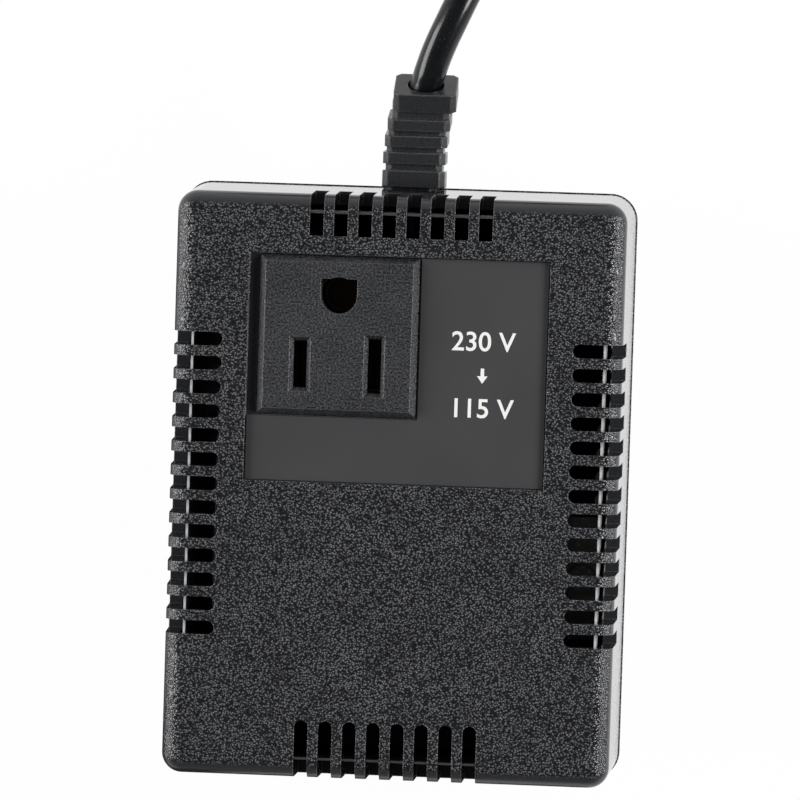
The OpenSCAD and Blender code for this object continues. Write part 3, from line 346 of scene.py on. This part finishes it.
# where the colours of a moulded plastic stand on its scale of tones
toneSteps = {"groove": 0.02, "dark": 0.36, "pale": 0.64, "wearAndSheen": 1.0}
wearAndSheenLift = 0.45             # what a worn edge adds on that scale, as wear and painted highlight
grooveShadeColour = 0.2           # colour of the painted shade in a groove, as a share of the dark one
grooveLight = (0.30, 0.85)  # open light from the bottom of a groove to its rim
grooveShadeDrop = -0.40          # what the painted shade at the bottom of a groove adds on the scale
grooveSamples = 8


def paintedGrooveShade(tree, reach):  # 0 in the open, below 0 where grooves hold the light off: painted shade
    node = tree.nodes.new("ShaderNodeAmbientOcclusion")
    node.samples = grooveSamples
    node.inputs["Distance"].default_value = reach * millimetre
    return between(tree, node.outputs["AO"], *grooveLight, grooveShadeDrop, 0.0)


def mouldedPlastic(name, look):
    finish, tree, shader, place = startFinish(name)
    fine = grain(tree, place, look["grain"], look["detail"])
    broad = grain(tree, place, look["patches"], detail=1.0)
    rounded = roundEdges(tree, look["edge"])
    edges = alongEdges(tree, rounded)
    gloss = between(tree, fine, *noiseSpan, *look["gloss"])
    worn = between(tree, edges, 0.0, 1.0, 1.0, look["worn"])
    tree.links.new(reckon(tree, "MULTIPLY", gloss, worn), shader.inputs["Roughness"])
    speckled = blend(tree, broad, fine, look["speckle"])
    # worn edges are painted paler, as wear and as a painted highlight along them
    tone = reckon(tree, "ADD", speckled, weighted(tree, edges, wearAndSheenLift))
    stops = [(toneSteps[step], look[step]) for step in ("dark", "pale", "wearAndSheen")]
    # painted shade in the grooves, darkest where the least open light reaches
    if "grooves" in look:
        span = (toneSteps["dark"], toneSteps["wearAndSheen"])
        tone = reckon(tree, "ADD", between(tree, tone, *span, *span), paintedGrooveShade(tree, look["grooves"]))
        stops.insert(0, (toneSteps["groove"], tuple(grooveShadeColour * c for c in look["dark"])))
    tint(tree, tone, stops, shader)
    normal = emboss(tree, fine, look["depth"], emboss(tree, broad, look["waver"], rounded))
    tree.links.new(normal, shader.inputs["Normal"])
    shader.inputs["Specular IOR Level"].default_value = look["shine"]
    return finish


def erodedPlastic(name, look):
    finish, tree, shader, place = startFinish(name)
    soft = grain(tree, place, look["softGrain"], detail=1.0)
    height = blend(tree, soft, pebbles(tree, place, look), look["pebbled"])
    broad = grain(tree, place, look["patches"], detail=1.0)
    rounded = roundEdges(tree, look["edge"])
    # the drafted walls leave the mould almost smooth; the grain, with its bumps, its painted glints and
    # its painted pit shade, is nearly left out there, on the ends' rounded edges and in the recess
    share = facing(tree, look["walls"], 1.0, look["wallTurn"])
    share = reckon(tree, "MULTIPLY", share, smoothEnds(tree, look["ends"]))
    bare = between(tree, recessFloor(tree, place, look), 0.0, 1.0, 1.0, look["walls"])
    share = reckon(tree, "MULTIPLY", share, bare)
    # colour: up and down from the smooth walls' own tone with the grain's height, pale on the pebbles'
    # tops as painted glints and dark in the pits as painted shade, and paler on worn edges, as wear and
    # painted highlight
    cloudy = between(tree, broad, *noiseSpan, -look["clouds"], look["clouds"])
    smooth = look["smoothTone"]
    level = between(tree, reckon(tree, "ADD", height, cloudy), 0.0, 1.0, -smooth, 1.0 - smooth)
    tone = tree.nodes.new("ShaderNodeMath")
    tone.operation = "MULTIPLY_ADD"
    tree.links.new(level, tone.inputs[0])
    tree.links.new(share, tone.inputs[1])
    tone.inputs[2].default_value = smooth
    wearAndSheen = weighted(tree, alongEdges(tree, rounded), look["wearAndSheen"])
    tint(tree, reckon(tree, "ADD", tone.outputs[0], wearAndSheen), look["tones"], shader)
    gloss = between(tree, soft, *noiseSpan, *look["gloss"])
    sleek = facing(tree, look["sleek"], 1.0)
    tree.links.new(reckon(tree, "MULTIPLY", gloss, sleek), shader.inputs["Roughness"])
    normal = emboss(tree, height, look["depth"], emboss(tree, broad, look["waver"], rounded))
    strength = reckon(tree, "MULTIPLY", share, facing(tree, 1.0, look["onFace"], look["faceTurn"]))
    tree.links.new(strength, normal.node.inputs["Strength"])
    tree.links.new(normal, shader.inputs["Normal"])
    return finish


def cutBoard(name, look):
    finish, tree, shader, place = startFinish(name)
    fibre = grain(tree, place, look["grain"], detail=3.0, stretch=look["stretch"])
    # faces that look up, the cut edge, take the pale tone: its own colour and a painted highlight
    tint(tree, facing(tree, 0.0, 1.0), look["tones"], shader)
    roughen(tree, fibre, look["gloss"], shader)
    tree.links.new(emboss(tree, fibre, look["depth"]), shader.inputs["Normal"])
    return finish


def sheetMetal(name, look):
    finish, tree, shader, place = startFinish(name)
    streak = grain(tree, place, look["grain"], detail=3.0, stretch=look["stretch"])
    tint(tree, streak, list(zip(look["spread"], (look["dark"], look["pale"]))), shader)
    roughen(tree, streak, look["gloss"], shader)
    normal = emboss(tree, streak, look["depth"], roundEdges(tree, look["edge"]))
    tree.links.new(normal, shader.inputs["Normal"])
    shader.inputs["Metallic"].default_value = 1.0
    return finish


def layered(name, look):
    finish, tree, shader, place = startFinish(name)
    layers = bands(tree, place, look)
    patches = grain(tree, place, look["patches"], detail=2.0)
    tint(tree, layers, list(zip(look["spread"], (look["dark"], look["pale"]))), shader)
    roughen(tree, patches, look["gloss"], shader)
    tree.links.new(emboss(tree, layers, look["depth"]), shader.inputs["Normal"])
    shader.inputs["Metallic"].default_value = look["metal"]
    return finish


# housing: black, with the coarse matte grain of a spark-eroded mould
caseLook = {
    # the pits, the smooth walls, the pebbles' tops and worn edges: the pale top is a painted glint, the
    # dark pit painted shade
    "tones": [
        (0.15, (0.0080, 0.0083, 0.0098)),
        (0.42, (0.0230, 0.0237, 0.0264)),
        (0.80, (0.1780, 0.1810, 0.1890)),
    ],
    "smoothTone": 0.42,        # the walls' place on that scale
    "clouds": 0.03,            # slow wander of the tone
    "wearAndSheen": 0.25,            # what a worn edge adds, as wear and painted highlight
    "grain": 0.36,
    "slope": (0.04, 0.70),     # from a pebble's top to its pit, in grains
    "uneven": 0.95,
    "pebbled": 0.84,           # the rest is the soft grain
    "softGrain": 0.216,
    "patches": 6.0,
    "depth": 0.13,
    "waver": 0.04,
    "onFace": 0.80,            # share of the depth on the flat face
    "faceTurn": (0.86, 0.98),  # upward part of the normal where that sets in
    "walls": 0.07,             # share of the grain on the walls and in the recess
    "wallTurn": (0.40, 0.72),  # upward part of the normal from the smooth walls to the grain
    "ends": (0.20, 0.45),      # endward part of the normal from the grain to the smooth ends
    "recess": (56.4, 56.3),    # heights between the face and the recess
    "level": (0.98, 0.995),    # upward part of the normal on the recess's floor
    "gloss": (0.18, 0.27),
    "sleek": 0.32,             # how much smoother the walls are
    "edge": 0.20,
}
rearLook = dict(caseLook, depth=0.11, recess=(-1.0, -1.1))  # has no recess
outletLook = {
    "dark": (0.0090, 0.0096, 0.0112), "pale": (0.0475, 0.0485, 0.0515),
    "wearAndSheen": (0.0800, 0.0810, 0.0840), "speckle": 0.85, "grain": 0.32, "detail": 0.4,
    "depth": 0.12, "patches": 6.0, "waver": 0.04, "gloss": (0.36, 0.48), "worn": 0.6,
    "edge": 0.24, "shine": 0.5,
}
# boot, cord and plug: smooth black sheathing compound
# the boot's grooves get painted shade
bootLook = dict(
    outletLook, dark=(0.0195, 0.0201, 0.0217), pale=(0.0262, 0.0270, 0.0290),
    wearAndSheen=(0.1200, 0.1210, 0.1240), grain=0.30, detail=2.0, depth=0.010, waver=0.05,
    gloss=(0.26, 0.38), worn=0.5, edge=0.50, grooves=4.0, shine=0.40,
)
cordLook = dict(
    bootLook, dark=(0.0052, 0.0056, 0.0066), pale=(0.0078, 0.0083, 0.0095), depth=0.002,
    patches=9.0, waver=0.02, gloss=(0.15, 0.21), edge=0.05, shine=0.34,
)
plugLook = dict(bootLook, grain=0.35, depth=0.012, gloss=(0.36, 0.48))
sleeveLook = dict(plugLook, depth=0.005, gloss=(0.35, 0.45), edge=0.10)
tieLook = dict(bootLook, grain=0.8, depth=0.03, gloss=(0.45, 0.60), edge=0.15)
footLook = dict(bootLook, grain=0.4, depth=0.03, gloss=(0.65, 0.85), edge=0.25, shine=0.3)
# inner plastics
carrierLook = dict(
    outletLook, dark=(0.0050, 0.0052, 0.0058), pale=(0.0085, 0.0088, 0.0095), grain=0.6,
    depth=0.01, gloss=(0.5, 0.65),
)
bobbinLook = dict(
    carrierLook, dark=(0.0095, 0.0095, 0.0112), pale=(0.0150, 0.0150, 0.0170), depth=0.02,
)
protectorLook = dict(
    carrierLook, dark=(0.66, 0.64, 0.57), pale=(0.79, 0.77, 0.68), wearAndSheen=(0.82, 0.80, 0.72),
    grain=0.5, depth=0.03, gloss=(0.30, 0.45),
)
labelLook = dict(
    outletLook, dark=(0.0410, 0.0412, 0.0430), pale=(0.0466, 0.0468, 0.0487), speckle=0.4,
    grain=0.16, detail=2.0, depth=0.003, patches=12.0, waver=0.02, gloss=(0.46, 0.56), edge=0.08,
    shine=0.4,
)
linerLook = {
    "tones": [(0.55, (0.160, 0.168, 0.178)), (0.9, (0.68, 0.68, 0.67))],  # its skin, and its cut edge, pale as its own colour and as a painted highlight
    "grain": 0.8, "stretch": (1, 1, 0.3), "gloss": (0.45, 0.65), "depth": 0.02,
}
leadLook = dict(
    outletLook, grain=0.30, detail=2.0, depth=0.010, gloss=(0.26, 0.38), edge=0.02,
)
leadRed = ("lead_red", (0.300, 0.012, 0.010), (0.400, 0.020, 0.016))
leadLooks = {
    "live_lead": ("lead_brown", (0.085, 0.030, 0.012), (0.120, 0.045, 0.020)),
    "neutral_lead": ("lead_blue", (0.012, 0.060, 0.220), (0.020, 0.085, 0.300)),
    "protector_lead": leadRed,
    "output_line_lead": leadRed,
    "output_neutral_lead": ("lead_white", (0.68, 0.68, 0.66), (0.78, 0.78, 0.76)),
}
steelLook = {
    "dark": (0.42, 0.43, 0.44), "pale": (0.62, 0.62, 0.62), "spread": (0.25, 0.75), "grain": 0.6,
    "stretch": (1, 1, 0.2), "gloss": (0.22, 0.40), "depth": 0.006, "edge": 0.10,
}
# the contacts' brass is painted far darker than bright brass: painted shade deep in the outlet's slots
brassLook = dict(
    steelLook, dark=(0.055, 0.042, 0.026), pale=(0.110, 0.085, 0.050), stretch=(1, 0.2, 1),
    gloss=(0.40, 0.60),
)
pinLook = dict(
    steelLook, dark=(0.55, 0.54, 0.50), pale=(0.72, 0.70, 0.66), gloss=(0.16, 0.30), edge=0.20,
)
frameLook = dict(
    steelLook, dark=(0.40, 0.40, 0.39), pale=(0.58, 0.57, 0.54), grain=3.0, stretch=(1, 1, 1),
)
laminationLook = {
    "dark": (0.10, 0.10, 0.11), "pale": (0.30, 0.30, 0.31), "spread": (0.1, 0.6), "pitch": 0.5,
    "direction": "Y", "waver": 0.3, "patches": 4.0, "gloss": (0.40, 0.62), "depth": 0.03, "metal": 1.0,
}
copperLook = dict(
    laminationLook, dark=(0.24, 0.075, 0.022), pale=(0.66, 0.27, 0.10), pitch=0.55, direction="Z",
    waver=0.4, patches=3.0, gloss=(0.22, 0.36), depth=0.10,
)
tapeLook = dict(
    laminationLook, dark=(0.52, 0.34, 0.045), pale=(0.68, 0.47, 0.075), pitch=9.0, direction="Z",
    waver=1.5, patches=5.0, gloss=(0.24, 0.40), metal=0.0,
)


def dress(finish, *nodeNames):
    for nodeName in nodeNames:
        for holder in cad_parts[nodeName].material_slots:
            holder.material = finish


cordFinish = mouldedPlastic("cord_sheath", cordLook)
cord.data.materials.append(cordFinish)
dress(cordFinish, "cord_inner_end", "cord_lead", "cord_coil", "cord_tail")
dress(erodedPlastic("textured_case", caseLook), "front_cover")
dress(erodedPlastic("textured_case_rear", rearLook), "rear_cover")
dress(mouldedPlastic("outlet_plastic", outletLook), "outlet_face")
dress(mouldedPlastic("label_plate", labelLook), "rating_label")
dress(mouldedPlastic("boot_sheath", bootLook), "strain_relief")
dress(mouldedPlastic("plug_plastic", plugLook), "plug_body")
dress(mouldedPlastic("pin_sleeve", sleeveLook), "pin_sleeves")
dress(mouldedPlastic("tie_plastic", tieLook), "coil_tie")
dress(mouldedPlastic("foot_rubber", footLook), "rubber_feet")
dress(mouldedPlastic("carrier_plastic", carrierLook), "contact_carrier")
dress(mouldedPlastic("bobbin_plastic", bobbinLook), "bobbin")
dress(mouldedPlastic("protector_sleeve", protectorLook), "thermal_protector")
dress(cutBoard("liner_board", linerLook), "insulating_liner")
dress(sheetMetal("fastener_steel", steelLook), "housing_screws", "carrier_screws", "core_frame_screws")
dress(sheetMetal("contact_brass", brassLook), "line_contact", "neutral_contact", "ground_contact")
dress(sheetMetal("plug_pin_metal", pinLook), "plug_pins")
dress(sheetMetal("frame_steel", frameLook), "core_frame")
dress(sheetMetal("terminal_metal", pinLook), "terminal_pins")
dress(layered("core_steel", laminationLook), "core_e_laminations", "core_i_laminations")
dress(layered("winding_copper", copperLook), "winding")
dress(layered("winding_film", tapeLook), "winding_tape")
for leadName, (finishName, dark, pale) in leadLooks.items():
    dress(mouldedPlastic(finishName, dict(leadLook, dark=dark, pale=pale, wearAndSheen=pale)), leadName)
print("finishes on")

# plain voltage figures on the label, in and out, with an arrow between them
figuresLook = {
    "figures": [("label_figure_in", "230 V", 14.6, 25.6), ("label_figure_out", "115 V", 14.6, 14.2)],
    "height": 3.4,
    "typeSize": 1.35,   # size of the type, in heights of its figures
    "bold": 0.05,
    "labelTop": 56.3,
    "thickness": 0.02,
    "arrowAt": (14.6, 19.9),
    "arrowSize": (1.8, 2.6),
    "arrowShaft": 0.6,
    "ink": (0.82, 0.82, 0.80),
    "thinInk": 0.93,    # where the print is thin, as a share of the ink
    "spread": (0.25, 0.6),
    "grain": 0.25,
    "gloss": (0.45, 0.60),
}


def inkFinish():
    finish, tree, shader, place = startFinish("label_ink")
    speckle = grain(tree, place, figuresLook["grain"], detail=2.0)
    ink = figuresLook["ink"]
    thin = tuple(figuresLook["thinInk"] * c for c in ink)
    tint(tree, speckle, list(zip(figuresLook["spread"], (thin, ink))), shader)
    roughen(tree, speckle, figuresLook["gloss"], shader)
    return finish


def makeFigures(ink):
    for name, words, x, y in figuresLook["figures"]:
        curve = bpy.data.curves.new(name, "FONT")
        curve.body = words
        curve.size = figuresLook["height"] * millimetre * figuresLook["typeSize"]
        curve.offset = figuresLook["bold"] * millimetre
        curve.extrude = figuresLook["thickness"] / 2 * millimetre
        curve.align_x = curve.align_y = "CENTER"
        curve.materials.append(ink)
        figure = addObject(name, curve)
        figure.location = inMetres((x, y, figuresLook["labelTop"] + figuresLook["thickness"] / 2))
        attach(figure, root)


def makeArrow(ink):
    side, end = (s / 2 for s in figuresLook["arrowSize"])
    shaft = figuresLook["arrowShaft"] / 2
    outline = [
        (-shaft, end), (shaft, end), (shaft, 0), (side, 0), (0, -end), (-side, 0), (-shaft, 0),
    ]
    x, y = figuresLook["arrowAt"]
    form = bmesh.new()
    lower = [form.verts.new(inMetres((x + a, y + b, figuresLook["labelTop"]))) for a, b in outline]
    raised = bmesh.ops.extrude_face_region(form, geom=[form.faces.new(lower)])["geom"]
    upper = [v for v in raised if isinstance(v, bmesh.types.BMVert)]
    bmesh.ops.translate(form, vec=inMetres((0, 0, figuresLook["thickness"])), verts=upper)
    bmesh.ops.recalc_face_normals(form, faces=form.faces)
    mesh = bpy.data.meshes.new("label_arrow")
    form.to_mesh(mesh)
    form.free()
    mesh.materials.append(ink)
    arrow = addObject("label_arrow", mesh)
    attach(arrow, root)


ink = inkFinish()
makeFigures(ink)
makeArrow(ink)
print("label printed")

# studio: white floor, with painted shadow under the case and a painted shadow strip that only
# reflections see, a low soft panel on each side and a sky that is pale at the horizon
studio = {
    "floor": 3.0,             # metres
    "floorPaint": (0.90, 0.90, 0.90),
    "floorGlow": 0.97,
    "shaded": (37.0, 49.0),   # half sizes of the painted shadow on the floor under the case
    "shadedCorner": 4.0,      # its corners are cut off by this much
    "softRim": 1.5,           # width in which it fades
    "shadeStrip": 45.0,             # width of a painted shadow strip at the left and near sides, seen only in reflections
    "shadeStripFade": 1.5,          # the strip is gone at this many times the distance of its far edge
    "shadeStripEnd": 6.0,           # length in which it fades at its two ends
    # colour of the painted shadow under the case and of the strip
    "paintedShadeColour": (0.02, 0.02, 0.02),
    "horizon": 0.92,
    "zenith": 0.08,
    "zenithFrom": 0.9,        # upward part of the way there
    "nearSide": 0.35,         # the sky past the picture's lower edge is dimmer
    "nearTurn": (-0.6, 0.4),  # from there to the rest of the sky
    "panels": [               # place, size, watts
        ("panel_left", (-760, 60, 330), (640, 440), 8.2),
        ("panel_right", (700, 110, 440), (440, 340), 7.6),
    ],
}


def beyond(tree, distance, reach):  # 0 up to the reach, 1 from a little past it
    outside = (reach + studio["softRim"]) * millimetre
    return between(tree, distance, reach * millimetre, outside, 0.0, 1.0)


def besideCase(tree):  # 0 on the floor under the case, where shadow is painted, 1 on the rest
    place = parts(tree, coordinates(tree, "Object"))
    away = [unsigned(tree, place[axis]) for axis in "XY"]
    sides = [beyond(tree, distance, half) for distance, half in zip(away, studio["shaded"])]
    reach = sum(studio["shaded"]) - studio["shadedCorner"]
    corner = beyond(tree, reckon(tree, "ADD", *away), reach)
    return reckon(tree, "MAXIMUM", reckon(tree, "MAXIMUM", *sides), corner)


def paintedShadeStrip(tree):  # 1 where the painted shadow strip lies, along the case's left and near sides
    place = parts(tree, coordinates(tree, "Object"))
    halves = dict(zip("XY", studio["shaded"]))
    strips = []
    for across, along in ("XY", "YX"):
        inner, outer = -halves[across], -halves[across] - studio["shadeStrip"]
        end = halves[along]
        begins = between(
            tree, place[across], studio["shadeStripFade"] * outer * millimetre, outer * millimetre, 0.0, 1.0,
        )
        reaches = between(
            tree, place[across], inner * millimetre, (inner + studio["softRim"]) * millimetre, 1.0, 0.0,
        )
        ends = between(
            tree, place[along], (end - studio["shadeStripEnd"]) * millimetre, end * millimetre, 1.0, 0.0,
        )
        strips.append(reckon(tree, "MULTIPLY", reckon(tree, "MULTIPLY", begins, reaches), ends))
    return reckon(tree, "MAXIMUM", *strips)


def mattePaint(tree, colour):
    node = tree.nodes.new("ShaderNodeBsdfDiffuse")
    node.inputs["Color"].default_value = (*colour, 1.0)
    return node.outputs[0]


def mixPaints(tree, share, one, two):
    node = tree.nodes.new("ShaderNodeMixShader")
    tree.links.new(share, node.inputs["Fac"])
    tree.links.new(one, node.inputs[1])
    tree.links.new(two, node.inputs[2])
    return node.outputs[0]


def floorFinish():
    finish = bpy.data.materials.new("floor_paint")
    finish.use_nodes = True
    tree = finish.node_tree
    tree.nodes.clear()
    glow = tree.nodes.new("ShaderNodeEmission")
    glow.inputs["Strength"].default_value = 1.0
    rays = tree.nodes.new("ShaderNodeLightPath").outputs
    seen = reckon(tree, "ADD", rays["Is Camera Ray"], rays["Is Glossy Ray"])
    seen = reckon(tree, "ADD", seen, rays["Is Transmission Ray"])
    seen.node.use_clamp = True
    uncovered = besideCase(tree)
    glowing = weighted(tree, reckon(tree, "MULTIPLY", seen, uncovered), studio["floorGlow"])
    lit = mixPaints(tree, glowing, mattePaint(tree, studio["floorPaint"]), glow.outputs[0])
    # glossy rays see a painted shadow strip beside the case
    mirrored = reckon(tree, "MULTIPLY", rays["Is Glossy Ray"], paintedShadeStrip(tree))
    # painted shadow on the floor under the case
    covered = between(tree, uncovered, 0.0, 1.0, 1.0, 0.0)
    dark = reckon(tree, "MAXIMUM", mirrored, covered)
    paint = mixPaints(tree, dark, lit, mattePaint(tree, studio["paintedShadeColour"]))
    output = tree.nodes.new("ShaderNodeOutputMaterial")
    tree.links.new(paint, output.inputs["Surface"])
    return finish


def makeFloor():
    half = studio["floor"] / 2
    corners = [(-half, -half, 0), (half, -half, 0), (half, half, 0), (-half, half, 0)]
    mesh = bpy.data.meshes.new("floor")
    mesh.from_pydata(corners, [], [(0, 1, 2, 3)])
    mesh.materials.append(floorFinish())
    floor = addObject("floor", mesh)


def makeSky():
    world = bpy.data.worlds.new("studio_sky")
    world.use_nodes = True
    tree = world.node_tree
    way = parts(tree, coordinates(tree, "Generated"))
    fade = between(tree, way["Z"], 0.0, studio["zenithFrom"], studio["horizon"], studio["zenith"])
    turned = between(tree, way["Y"], *studio["nearTurn"], studio["nearSide"], 1.0)
    sky = tree.nodes["Background"]
    sky.inputs["Color"].default_value = (1, 1, 1, 1)
    tree.links.new(reckon(tree, "MULTIPLY", fade, turned), sky.inputs["Strength"])
    scene.world = world


def makePanels():
    for name, place, size, power in studio["panels"]:
        data = bpy.data.lights.new(name, "AREA")
        data.energy = power
        data.shape = "RECTANGLE"
        data.size, data.size_y = size[0] * millimetre, size[1] * millimetre
        panel = addObject(name, data)
        panel.location = inMetres(place)
        panel.rotation_euler = (-Vector(place)).to_track_quat("-Z", "Y").to_euler()


makeFloor()
makeSky()
makePanels()
scene.view_settings.view_transform = "Standard"
print("studio lit")

bpy.context.view_layer.update()
